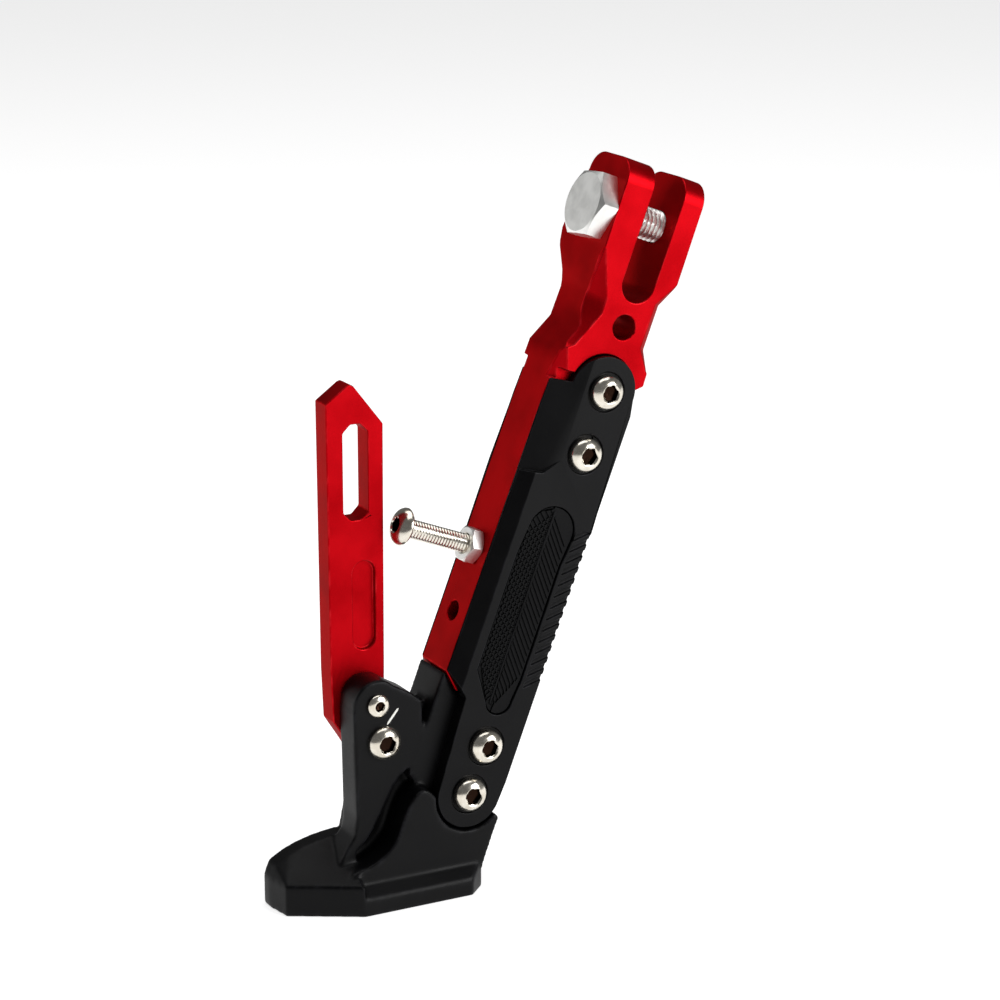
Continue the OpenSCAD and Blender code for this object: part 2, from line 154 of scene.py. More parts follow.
@dataclass(frozen=True)
class Finish:
    """A surface: what it is made of, how it was worked, and how its edges have worn."""

    name: str
    colour: str
    shade: str  # the same colour where the surface took less dye or light
    worn: str  # colour of broken edges, where the film is thinner
    metallic: float
    roughness: float
    spread: float  # how far roughness strays either way
    grain_mm: tuple[float, float, float]  # size of one mark across, through and along the leg
    grain_depth_mm: float
    cloud_mm: float  # size of the slow stains in the colour
    wear: float  # share of an edge that shows its worn colour
    specular: float = 0.5
    ior: float = 1.5
    painted_shade: str = "#20140e"  # dark brown colour of the painted shade inside a socket's hollow
    tint: str = "#ffffff"  # colour of the gloss at a low angle

    def noise(self, tree: bpy.types.NodeTree, size_mm: tuple, detail: float) -> bpy.types.NodeSocket:
        """Adds noise whose cells have a real size, turned to run along the leg.

        Args:
            tree: Shader tree that takes the nodes.
            size_mm: Size of one cell along the leg frame's axes.
            detail: Octaves of finer noise on top.

        Returns:
            The noise value, around 0.5.
        """
        place = add_node(tree, "ShaderNodeTexCoord", {}, {})
        size = tuple(length * MM for length in size_mm)
        mapped = add_node(
            tree,
            "ShaderNodeMapping",
            {"vector_type": "TEXTURE"},
            {"Vector": place.outputs["Object"], "Rotation": (0.0, LEAN, 0.0), "Scale": size},
        )
        noise = add_node(
            tree,
            "ShaderNodeTexNoise",
            {},
            {"Vector": mapped.outputs[0], "Scale": 1.0, "Detail": detail},
        )
        return noise.outputs[0]

    def material(self) -> bpy.types.Material:
        """Builds the finish as a node material.

        Returns:
            The material, named for what it is and how it was worked.
        """
        made = bpy.data.materials.new(self.name)
        made.use_nodes = True
        tree = made.node_tree
        shader = tree.nodes["Principled BSDF"]
        grain = self.noise(tree, self.grain_mm, 2.0)
        cloud = self.noise(tree, (self.cloud_mm,) * 3, 3.0)
        scuff = self.noise(tree, SCUFF_MM, 3.0)
        marked = add_node(
            tree, "ShaderNodeAttribute", {"attribute_name": EDGE_LAYER}, {}
        ).outputs["Fac"]
        broken = add_node(
            tree,
            "ShaderNodeMapRange",
            {},
            {
                "Value": scuff,
                "From Min": SCUFF_FROM - self.wear * SCUFF_REACH,
                "From Max": SCUFF_FULL,
            },
        ).outputs[0]
        worn = add_node(tree, "ShaderNodeMath", {"operation": "MULTIPLY"}, {0: marked, 1: broken})
        stain = add_node(
            tree,
            "ShaderNodeMapRange",
            {},
            {"Value": cloud, "From Min": STAIN_SPAN[0], "From Max": STAIN_SPAN[1]},
        ).outputs[0]
        dyed = add_node(
            tree,
            "ShaderNodeMix",
            {"data_type": "RGBA"},
            {0: stain, 6: linear(self.shade), 7: linear(self.colour)},
        ).outputs[2]
        coloured = add_node(
            tree,
            "ShaderNodeMix",
            {"data_type": "RGBA"},
            {0: worn.outputs[0], 6: dyed, 7: linear(self.worn)},
        ).outputs[2]
        # painted shade: faces inside a socket are turned towards a dark brown colour
        hollow = add_node(
            tree, "ShaderNodeAttribute", {"attribute_name": PAINTED_SHADE_LAYER}, {}
        ).outputs["Fac"]
        shaded = add_node(
            tree,
            "ShaderNodeMix",
            {"data_type": "RGBA"},
            {0: hollow, 6: coloured, 7: linear(self.painted_shade)},
        ).outputs[2]
        mixed = add_node(
            tree, "ShaderNodeMath", {"operation": "ADD"}, {0: grain, 1: cloud}
        ).outputs[0]
        rough = add_node(
            tree,
            "ShaderNodeMapRange",
            {},
            {
                "Value": mixed,
                "From Min": ROUGH_SPAN[0],
                "From Max": ROUGH_SPAN[1],
                "To Min": self.roughness - self.spread,
                "To Max": self.roughness + self.spread,
            },
        ).outputs[0]
        bump = add_node(
            tree,
            "ShaderNodeBump",
            {},
            {"Height": grain, "Strength": 1.0, "Distance": self.grain_depth_mm * MM},
        ).outputs[0]
        tree.links.new(shaded, shader.inputs["Base Color"])
        tree.links.new(rough, shader.inputs["Roughness"])
        tree.links.new(bump, shader.inputs["Normal"])
        shader.inputs["Metallic"].default_value = self.metallic
        shader.inputs["Specular Tint"].default_value = linear(self.tint)
        if self.metallic < 1.0:
            shader.inputs["Specular IOR Level"].default_value = self.specular
            shader.inputs["IOR"].default_value = self.ior
        return made


# Milled aluminium with a clear red dye: the metal shines through, so flat faces turn from
# bright to deep red with the light, and cutter lines run finely along the leg.
RED_ANODISED = Finish(
    name="milled_aluminium_red_anodised",
    colour="#a80710",
    shade="#96040b",
    worn="#bb1a21",
    metallic=0.75,
    roughness=0.38,
    spread=0.06,
    grain_mm=(0.35, 0.35, 9.0),
    grain_depth_mm=0.005,
    cloud_mm=14.0,
    wear=0.45,
    specular=0.12,
    tint="#b4141c",
)

# Blasted aluminium with a dense black film, on the covers and the foot: a dry, even black
# with a fine sparkle of grit, drawn at 0.45 mm, coarser than real grit so that it shows.
BLACK_ANODISED = Finish(
    name="blasted_aluminium_black_anodised",
    colour="#040405",
    shade="#020203",
    worn="#141417",
    metallic=0.0,
    roughness=0.42,
    spread=0.06,
    grain_mm=(0.45, 0.45, 0.45),
    grain_depth_mm=0.012,
    cloud_mm=11.0,
    wear=0.5,
    specular=0.12,
)

# Moulded nitrile rubber: the dullest black on the stand, with a slight skin texture.
MOULDED_RUBBER = Finish(
    name="moulded_nitrile_rubber",
    colour="#040405",
    shade="#020203",
    worn="#141416",
    metallic=0.0,
    roughness=0.56,
    spread=0.06,
    grain_mm=(0.6, 0.6, 0.6),
    grain_depth_mm=0.015,
    cloud_mm=6.0,
    wear=0.5,
    specular=0.1,
)

# Cold headed steel with bright zinc: pale and a little cloudy, with soft reflections.
ZINC_PLATED = Finish(
    name="headed_steel_bright_zinc",
    colour="#ecece9",
    shade="#dededb",
    worn="#fafaf8",
    metallic=1.0,
    roughness=0.36,
    spread=0.05,
    grain_mm=(0.5, 0.5, 0.5),
    grain_depth_mm=0.0015,
    cloud_mm=4.0,
    wear=0.6,
)

# Turned steel with nickel: a warm white metal with crisp reflections.
NICKEL_PLATED = Finish(
    name="turned_steel_bright_nickel",
    colour="#e2ddd2",
    shade="#cfc8ba",
    worn="#fbf8f2",
    metallic=1.0,
    roughness=0.2,
    spread=0.05,
    grain_mm=(0.4, 0.4, 0.4),
    grain_depth_mm=0.0008,
    cloud_mm=3.0,
    wear=0.5,
)

# White enamel for a painted glint: a thin bright stripe on the ear, slightly broken along its rim.
PAINTED_GLINT_WHITE = Finish(
    name="painted_glint_white",
    colour="#f1f1ec",
    shade="#d9d9d2",
    worn="#ffffff",
    metallic=0.0,
    roughness=0.35,
    spread=0.08,
    grain_mm=(0.4, 0.4, 0.4),
    grain_depth_mm=0.02,
    cloud_mm=2.0,
    wear=0.4,
)


# ---- meshes ----------------------------------------------------------------------------


def new_object(name: str, mesh: bpy.types.Mesh) -> bpy.types.Object:
    """Links a mesh to the scene as an object at the origin.

    Args:
        name: Name of the object.
        mesh: Its mesh, already in place.

    Returns:
        The new object.
    """
    made = bpy.data.objects.new(name, mesh)
    bpy.context.scene.collection.objects.link(made)
    return made


def apply_modifiers(piece: bpy.types.Object) -> None:
    """Turns a piece's modifiers into a plain mesh.

    Args:
        piece: Object whose modifiers are evaluated and removed.
    """
    bpy.context.view_layer.update()
    graph = bpy.context.evaluated_depsgraph_get()
    result = bpy.data.meshes.new_from_object(piece.evaluated_get(graph))
    piece.modifiers.clear()
    old = piece.data
    piece.data = result
    bpy.data.meshes.remove(old)


def smooth(mesh: bpy.types.Mesh, degrees: float) -> None:
    """Shades a mesh smooth, apart from edges sharper than the given angle."""
    mesh.shade_smooth()
    mesh.set_sharp_from_angle(angle=math.radians(degrees))


def loft(name: str, rings: list[list[Vector]], loop: bool = False) -> bpy.types.Mesh:
    """Skins rings that have the same number of points.

    Args:
        name: Name of the mesh.
        rings: Rings in order, in metres.
        loop: True joins the last ring to the first, and False caps both ends.

    Returns:
        A closed mesh whose faces point outwards.
    """
    bm = bmesh.new()
    rows = [[bm.verts.new(point) for point in ring] for ring in rings]
    pairs = list(zip(rows, rows[1:]))
    if loop:
        pairs.append((rows[-1], rows[0]))
    for low, high in pairs:
        for i in range(len(low)):
            j = (i + 1) % len(low)
            bm.faces.new((low[i], low[j], high[j], high[i]))
    if not loop:
        bm.faces.new(rows[0])
        bm.faces.new(rows[-1])
    bmesh.ops.recalc_face_normals(bm, faces=bm.faces)
    mesh = bpy.data.meshes.new(name)
    bm.to_mesh(mesh)
    bm.free()
    return mesh


def round_ring(radius: float, z: float) -> list[Vector]:
    """Points of a circle round the z axis, from sizes in millimetres."""
    turns = [2 * math.pi * i / AROUND for i in range(AROUND)]
    return [Vector((radius * math.cos(a), radius * math.sin(a), z)) * MM for a in turns]


def hex_radius(across_flats: float, angle: float) -> float:
    """Distance from the middle of a hexagon to its outline in one direction."""
    sixth = math.pi / 3
    return across_flats / 2 / math.cos((angle + sixth / 2) % sixth - sixth / 2)


def hex_ring(across_flats: float, z: float, cone: float | None = None) -> list[Vector]:
    """Points of a hexagon round the z axis, from sizes in millimetres.

    Args:
        across_flats: Width of the hexagon over two flats.
        z: Height of the ring.
        cone: Radius at which a 30 degree chamfer starts, which lowers the corners.

    Returns:
        The points of the ring, in metres.
    """
    points = []
    for i in range(AROUND):
        angle = 2 * math.pi * i / AROUND
        radius = hex_radius(across_flats, angle)
        drop = 0.0
        if cone is not None:
            drop = (radius - cone) * math.tan(math.radians(CHAMFER_DEGREES))
        points.append(Vector((radius * math.cos(angle), radius * math.sin(angle), z - drop)) * MM)
    return points


@dataclass(frozen=True)
class Thread:
    """A metric screw thread as a height along a helix."""

    major: float
    pitch: float
    steps: int = 6  # rings in one turn
    share: float = 0.54  # depth over pitch
    flank: float = 2.3  # steepness of the flanks
    crest: float = 0.1  # width of the flat crest

    def rings(self, low: float, high: float) -> list[list[Vector]]:
        """Rings of the thread between two heights.

        Args:
            low: Height where the thread starts.
            high: Height where the thread ends.

        Returns:
            Rings for loft(), from the low end up.
        """
        depth = self.share * self.pitch
        count = max(2, round((high - low) / self.pitch * self.steps))
        rings = []
        for k in range(count + 1):
            z = low + (high - low) * k / count
            ring = []
            for i in range(AROUND):
                angle = 2 * math.pi * i / AROUND
                phase = (z / self.pitch - i / AROUND) % 1.0
                fall = min(1.0, max(0.0, abs(phase - 0.5) * self.flank - self.crest))
                radius = self.major / 2 - depth * fall
                ring.append(Vector((radius * math.cos(angle), radius * math.sin(angle), z)) * MM)
            rings.append(ring)
        return rings


@dataclass(frozen=True)
class EdgeBreak:
    """How the sharp edges of a machined piece are broken."""

    width: float
    segments: int = 2
    least_angle: float = 26.0

    def apply(self, piece: bpy.types.Object) -> None:
        """Rounds the sharp edges and marks the new faces in the edge attribute.

        Args:
            piece: Object to change, with no modifiers of its own.
        """
        piece.data.shade_smooth()
        bevel = piece.modifiers.new("edge_break", "BEVEL")
        bevel.width = self.width * MM
        bevel.segments = self.segments
        bevel.limit_method = "ANGLE"
        bevel.angle_limit = math.radians(self.least_angle)
        bevel.use_clamp_overlap = False
        bevel.miter_outer = "MITER_ARC"
        bevel.material = 1
        flat = piece.modifiers.new("flat_faces", "WEIGHTED_NORMAL")
        flat.weight = FACE_WEIGHT
        plain, marked = (bpy.data.materials.new(n) for n in ("plain_face", "broken_edge"))
        piece.data.materials.clear()
        piece.data.materials.append(plain)
        piece.data.materials.append(marked)
        apply_modifiers(piece)
        mesh = piece.data
        layer = mesh.attributes.new(EDGE_LAYER, "FLOAT", "FACE")
        for i, face in enumerate(mesh.polygons):
            layer.data[i].value = float(face.material_index == 1)
            face.material_index = 0
        mesh.materials.clear()
        bpy.data.materials.remove(plain)
        bpy.data.materials.remove(marked)


def paint_socket_shade(mesh: bpy.types.Mesh, radius: float, low: float, high: float) -> None:
    """Marks the hollow round the z axis that takes painted shade, from sizes in millimetres.

    Args:
        mesh: Mesh drawn about the z axis.
        radius: How far the hollow reaches from the axis.
        low: Height where it starts.
        high: Height where it ends.
    """
    layer = mesh.attributes.new(PAINTED_SHADE_LAYER, "FLOAT", "FACE")
    for i, face in enumerate(mesh.polygons):
        middle = face.center / MM
        layer.data[i].value = float(low < middle.z < high and middle.xy.length < radius)


def cad_copy(node: str, name: str) -> bpy.types.Object:
    """Copies a CAD node as one sealed mesh with whole flat faces.

    Args:
        node: Name of the CAD node.
        name: Name of the new object.

    Returns:
        The copy; the node itself stays as it is.
    """
    bm = bmesh.new()
    bm.from_mesh(frame["nodes"][node].data)
    bmesh.ops.remove_doubles(bm, verts=bm.verts, dist=WELD_MM * MM)
    bmesh.ops.dissolve_degenerate(bm, edges=bm.edges, dist=WELD_MM * MM)
    bmesh.ops.dissolve_limit(
        bm,
        angle_limit=math.radians(FLAT_DEGREES),
        verts=bm.verts,
        edges=bm.edges,
        use_dissolve_boundaries=False,
    )
    mesh = bpy.data.meshes.new(name)
    bm.to_mesh(mesh)
    bm.free()
    return new_object(name, mesh)


def cut(piece: bpy.types.Object, cutter: bpy.types.Object) -> None:
    """Takes the cutter's space out of a piece, and removes the cutter.

    Args:
        piece: Object that loses the space.
        cutter: Closed object that fills it.
    """
    bpy.context.view_layer.update()
    boolean = piece.modifiers.new("cut", "BOOLEAN")
    boolean.operation = "DIFFERENCE"
    boolean.solver = "EXACT"
    boolean.object = cutter
    apply_modifiers(piece)
    bpy.data.objects.remove(cutter)


def dress(
    piece: bpy.types.Object, material: bpy.types.Material, slot: Slot, body: Body, *nodes: str
) -> None:
    """Gives a finished piece its material and body, and hides the CAD nodes it stands for.

    Args:
        piece: Finished object, in place.
        material: Material for every face.
        slot: Slot of the record that the finish belongs to; not used.
        body: Body that carries the piece.
        nodes: CAD nodes that the piece replaces.
    """
    piece.data.materials.clear()
    piece.data.materials.append(material)
    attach(piece, body.value)
    if nodes:
        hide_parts(*nodes)
    LOG.info("%s: %d faces on %s", piece.name, len(piece.data.polygons), body.value)


# ---- rows ------------------------------------------------------------------------------


class RowTree:
    """Geometry nodes that repeat a mesh along a line, such as screws or knurls."""

    SEED = 7

    def __init__(self) -> None:
        """Builds the tree once; every row shares it."""
        self.tree = bpy.data.node_groups.new("row_of_pieces", "GeometryNodeTree")
        socket = self.tree.interface.new_socket
        for name, kind in (
            ("Piece", "NodeSocketGeometry"),
            ("Count", "NodeSocketInt"),
            ("First", "NodeSocketVector"),
            ("Step", "NodeSocketVector"),
            ("Turn", "NodeSocketVector"),
            ("Spin", "NodeSocketFloat"),
            ("Material", "NodeSocketMaterial"),
        ):
            socket(name=name, in_out="INPUT", socket_type=kind)
        socket(name="Row", in_out="OUTPUT", socket_type="NodeSocketGeometry")
        given = add_node(self.tree, "NodeGroupInput", {}, {}).outputs
        line = add_node(
            self.tree,
            "GeometryNodeMeshLine",
            {"mode": "OFFSET"},
            {"Count": given["Count"], "Start Location": given["First"], "Offset": given["Step"]},
        )
        placed = add_node(
            self.tree,
            "GeometryNodeInstanceOnPoints",
            {},
            {"Points": line.outputs[0], "Instance": given["Piece"], "Rotation": given["Turn"]},
        )
        chance = add_node(
            self.tree,
            "FunctionNodeRandomValue",
            {"data_type": "FLOAT"},
            {2: 0.0, 3: given["Spin"], 8: self.SEED},
        )
        about = add_node(self.tree, "ShaderNodeCombineXYZ", {}, {"Z": chance.outputs[1]})
        spun = add_node(
            self.tree,
            "GeometryNodeRotateInstances",
            {},
            {"Instances": placed.outputs[0], "Rotation": about.outputs[0], "Local Space": True},
        )
        real = add_node(self.tree, "GeometryNodeRealizeInstances", {}, {"Geometry": spun.outputs[0]})
        painted = add_node(
            self.tree,
            "GeometryNodeSetMaterial",
            {},
            {"Geometry": real.outputs[0], "Material": given["Material"]},
        )
        add_node(self.tree, "NodeGroupOutput", {}, {"Row": painted.outputs[0]})
        self.sockets = {
            item.name: item.identifier
            for item in self.tree.interface.items_tree
            if item.in_out == "INPUT"
        }

    def lay(self, name: str, mesh: bpy.types.Mesh, values: dict) -> bpy.types.Object:
        """Lays one row and turns it into a plain mesh.

        Args:
            name: Name of the new object.
            mesh: Mesh that is repeated, about its own origin.
            values: Inputs of the tree by name.

        Returns:
            The row as one object with no modifier.
        """
        made = new_object(name, mesh)
        row = made.modifiers.new("row", "NODES")
        row.node_group = self.tree
        for key, value in values.items():
            row[self.sockets[key]] = value
        apply_modifiers(made)
        return made


# ---- the stand -------------------------------------------------------------------------


@dataclass
class UpperArm:
    """Forked upper arm: clevis, neck and the tongue that the covers clamp."""

    edge: EdgeBreak = EdgeBreak(0.4)

    def build(self, finish: bpy.types.Material) -> None:
        """Breaks the edges of the arm and dresses it.

        Args:
            finish: Material of the arm.
        """
        arm = cad_copy("upper_arm", "arm_forged")
        self.edge.apply(arm)
        dress(arm, finish, Slot.RED, Body.LEG, "upper_arm")


@dataclass
class LeverPlate:
    """Upright slotted plate that a rider's toe pushes against."""

    edge: EdgeBreak = EdgeBreak(0.4)

    def build(self, finish: bpy.types.Material) -> None:
        """Breaks the edges of the plate and dresses it.

        Args:
            finish: Material of the plate.
        """
        plate = cad_copy("lever_plate", "toe_lever")
        self.edge.apply(plate)
        dress(plate, finish, Slot.RED, Body.LEG, "lever_plate")


@dataclass(frozen=True)
class CastSkin:
    """Rounded edges and filled corners of a cast piece."""

    cell: float = 0.6  # size of one voxel
    rounds: int = 9  # passes of smoothing
    factor: float = 0.5  # share of the way that a pass moves a point
    full_bend: float = 0.9  # bend over one cell, in radians, that counts as an edge

    def apply(self, piece: bpy.types.Object) -> None:
        """Rounds the whole piece and marks its outer edges in the edge attribute.

        Args:
            piece: Object to change, with no modifiers of its own.
        """
        grid = piece.modifiers.new("grid", "REMESH")
        grid.mode = "VOXEL"
        grid.voxel_size = self.cell * MM
        relax = piece.modifiers.new("relax", "SMOOTH")
        relax.factor = self.factor
        relax.iterations = self.rounds
        apply_modifiers(piece)
        bm = bmesh.new()
        bm.from_mesh(piece.data)
        layer = bm.faces.layers.float.new(EDGE_LAYER)
        for face in bm.faces:
            bend = sum(edge.calc_face_angle_signed(0.0) for edge in face.edges)
            face[layer] = min(1.0, max(0.0, bend / self.full_bend))
        bm.to_mesh(piece.data)
        bm.free()
        piece.data.shade_smooth()


@dataclass
class Foot:
    """Wide foot with its web, its column and the ear that carries the lever."""

    skin: CastSkin = CastSkin()
    ear_t: float = 10.5  # thickness of the ear in front of the lever plate
    stripe_from: tuple[float, float] = (-85.9, -137.3)
    stripe_to: tuple[float, float] = (-89.6, -141.8)
    stripe_width: float = 0.8
    stripe_height: float = 0.12
    stripe_bed: float = 0.05  # how far the stripe reaches into the ear
    stripe_tip: float = 0.4  # width of its ends over its full width
    stripe_top: float = 0.7  # width of its crown over its foot

    def build(self, finish: bpy.types.Material, glint_white: bpy.types.Material) -> None:
        """Rounds the foot, dresses it and adds its white stripe of painted glint.

        Args:
            finish: Material of the foot.
            glint_white: Material of the stripe.
        """
        foot = cad_copy("foot", "foot_block")
        self.skin.apply(foot)
        dress(foot, finish, Slot.BLACK, Body.LEG, "foot")
        self.painted_glint_stripe(glint_white)

    def painted_glint_stripe(self, glint_white: bpy.types.Material) -> None:
        """Lays a short white stripe between the two lever screws, as a painted glint on the ear.

        Args:
            glint_white: Material of the stripe.
        """
        # painted glint: a bright white line on the ear, drawn as a raised strip
        face_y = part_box("lever_plate")[0].y / MM - self.ear_t
        start, end = (Vector((x, face_y, z)) for x, z in (self.stripe_from, self.stripe_to))
        along = end - start
        side = along.cross(Vector((0, 1, 0))).normalized() * self.stripe_width / 2
        rings = []
        lift = Vector((0, -self.stripe_height, 0))
        sink = Vector((0, self.stripe_bed, 0))
        tip, top = self.stripe_tip, self.stripe_top
        for share, fat in ((0.0, tip), (0.12, 1.0), (0.88, 1.0), (1.0, tip)):
            middle = start + along * share
            corners = (side * fat + sink, side * fat * top + lift, -side * fat * top + lift)
            rings.append([(middle + c) * MM for c in (*corners, -side * fat + sink)])
        stripe = new_object("painted_glint_stripe", loft("painted_glint_stripe", rings))
        dress(stripe, glint_white, Slot.BLACK, Body.LEG)


@dataclass
class Cover:
    """One of the two black covers, with its grip insert and its four screws."""

    side: Side
    edge: EdgeBreak = EdgeBreak(0.35)
    insert_edge: EdgeBreak = EdgeBreak(0.2)
    recess_d: float = 12.2
    recess_depth: float = 0.5
    recess_clear: float = 2.0  # how far the cutter stands out of the cover
    ridge_x: float = -3.5  # line of the centre ridge across the leg
    grip_half: float = 7.2
    knurl_top: float = -90.5
    knurl_pitch: float = 2.05
    knurl_count: int = 29
    knurl_width: float = 1.0
    knurl_height: float = 0.42
    knurl_bed: float = 0.15  # how far a rib reaches into the pad
    knurl_top_share: float = 0.55  # width of a rib's crown over its foot
    crown: float = 1.4  # round top of the pocket above the first rib
    point_z: float = -151.0  # lower end of the knurl
    point_h: float = 11.0  # height over which it narrows
    point_half: float = 1.2  # half its width at the end
    least_half: float = 0.55  # narrowest reach of a rib
    rib_from: float = 0.6  # where a rib starts beside the ridge
    pad_depth: float = 0.5  # how far the pad lies behind the face of the cover
    rib_rows: tuple = ((-1, -1.15), (1, -1.15), (-1, 0.85))  # side of the ridge, and slope

    @property
    def word(self) -> str:
        """The side as it stands in the names of nodes and pieces."""
        return self.side.name.lower()

    def build(self, finishes: dict[Slot, bpy.types.Material], rows: RowTree) -> None:
        """Builds the cover, its insert and its screws.

        Args:
            finishes: Materials by slot.
            rows: Tree that lays the screws and the knurl.
        """
        centres = []
        for place in ("arm", "foot"):
            screws = ButtonScrew(f"{self.word}_{place}_screws", self.side, pair=True)
            centres += screws.centres()
            screws.build(finishes[Slot.SCREW], rows)
        shell = cad_copy(f"{self.word}_cover", f"{self.word}_cover_shell")
        for centre in centres:
            self.sink_recess(shell, centre)
        self.edge.apply(shell)
        dress(shell, finishes[Slot.BLACK], Slot.BLACK, Body.LEG, f"{self.word}_cover")
        pad = cad_copy(f"{self.word}_grip_insert", f"{self.word}_insert_pad")
        self.insert_edge.apply(pad)
        dress(pad, finishes[Slot.INSERT], Slot.INSERT, Body.LEG, f"{self.word}_grip_insert")
        self.lay_knurl(finishes[Slot.INSERT], rows)

    def sink_recess(self, shell: bpy.types.Object, centre: Vector) -> None:
        """Sinks a shallow ring for the head of one screw into the cover.

        Args:
            shell: The cover, before its edges are broken.
            centre: Middle of the screw's seat, in metres.
        """
        out = float(self.side.value)
        rings = []
        for depth in (self.recess_depth, -self.recess_clear):
            ring = round_ring(self.recess_d / 2, 0)
            rings.append([Vector((p.x, p.y, -depth * MM)) for p in ring])
        mesh = loft("recess", rings)
        turn = Matrix.Rotation(math.radians(-90 * out), 4, "X")
        mesh.transform(Matrix.Translation(centre) @ turn)
        cut(shell, new_object("recess", mesh))

    def half_width(self, z: float, sign: int) -> float:
        """How far the knurl reaches from the ridge at one height, on one side of it.

        Args:
            z: Height along the leg.
            sign: 1 on the side that is widened by one millimetre at the top, and 0 on the other.

        Returns:
            The reach in millimetres.
        """
        rise = max(0.0, z - (self.knurl_top + self.crown - self.grip_half))
        round_top = math.sqrt(max(0.0, self.grip_half**2 - rise**2))
        low = max(0.0, min(1.0, (z - self.point_z) / self.point_h))
        taper = self.point_half + (self.grip_half - self.point_half) * low
        return min(round_top + sign, self.grip_half, taper)

    def knurl_mesh(self, sign: int, slope: float) -> bpy.types.Mesh:
        """One slanted rib of the knurl, with upright ends.

        Args:
            sign: Side of the ridge, negative towards the toe.
            slope: Rise of the rib along its run.

        Returns:
            The rib about the foot of its inner end.
        """
        rings = []
        half = self.knurl_width / 2
        steps = 8
        for k in range(steps + 1):
            run = self.rib_from + (self.grip_half - self.rib_from) * k / steps
            low = [(half, self.knurl_bed), (half * self.knurl_top_share, -self.knurl_height)]
            outline = low + [(-z, y) for z, y in reversed(low)]
            rings.append([Vector((sign * run, y, z + run * slope)) * MM for z, y in outline])
        return loft("knurl_rib", rings)

    def lay_knurl(self, rubber: bpy.types.Material, rows: RowTree) -> None:
        """Lays the slanted ribs on both sides of the ridge and joins them.

        Args:
            rubber: Material of the ribs.
            rows: Tree that repeats them.
        """
        floor_y = -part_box("front_cover")[0].y / MM - self.pad_depth
        joined = bmesh.new()
        for sign, slope in self.rib_rows:
            row = rows.lay(
                "knurl_row",
                self.knurl_mesh(sign, slope),
                {
                    "Count": self.knurl_count,
                    "First": (self.ridge_x * MM, -floor_y * MM, self.knurl_top * MM),
                    "Step": (0.0, 0.0, -self.knurl_pitch * MM),
                    "Material": rubber,
                },
            )
            joined.from_mesh(row.data)
            bpy.data.objects.remove(row)
        for vert in joined.verts:
            away = vert.co.x / MM - self.ridge_x
            sign = 1 if away > 0 else -1
            reach = max(self.half_width(vert.co.z / MM, max(sign, 0)), self.least_half)
            vert.co.x = (self.ridge_x + sign * min(abs(away), reach)) * MM
        bmesh.ops.dissolve_degenerate(joined, edges=joined.edges, dist=SLIVER_MM * MM)
        mesh = bpy.data.meshes.new("knurl")
        joined.to_mesh(mesh)
        joined.free()
        if self.side is Side.BACK:
            mesh.transform(Matrix.Scale(-1, 4, (0, 1, 0)))
            mesh.flip_normals()
        mesh.transform(LEG)
        knurl = new_object(f"{self.word}_insert_knurl", mesh)
        smooth(mesh, degrees=30)
        dress(knurl, rubber, Slot.INSERT, Body.LEG)


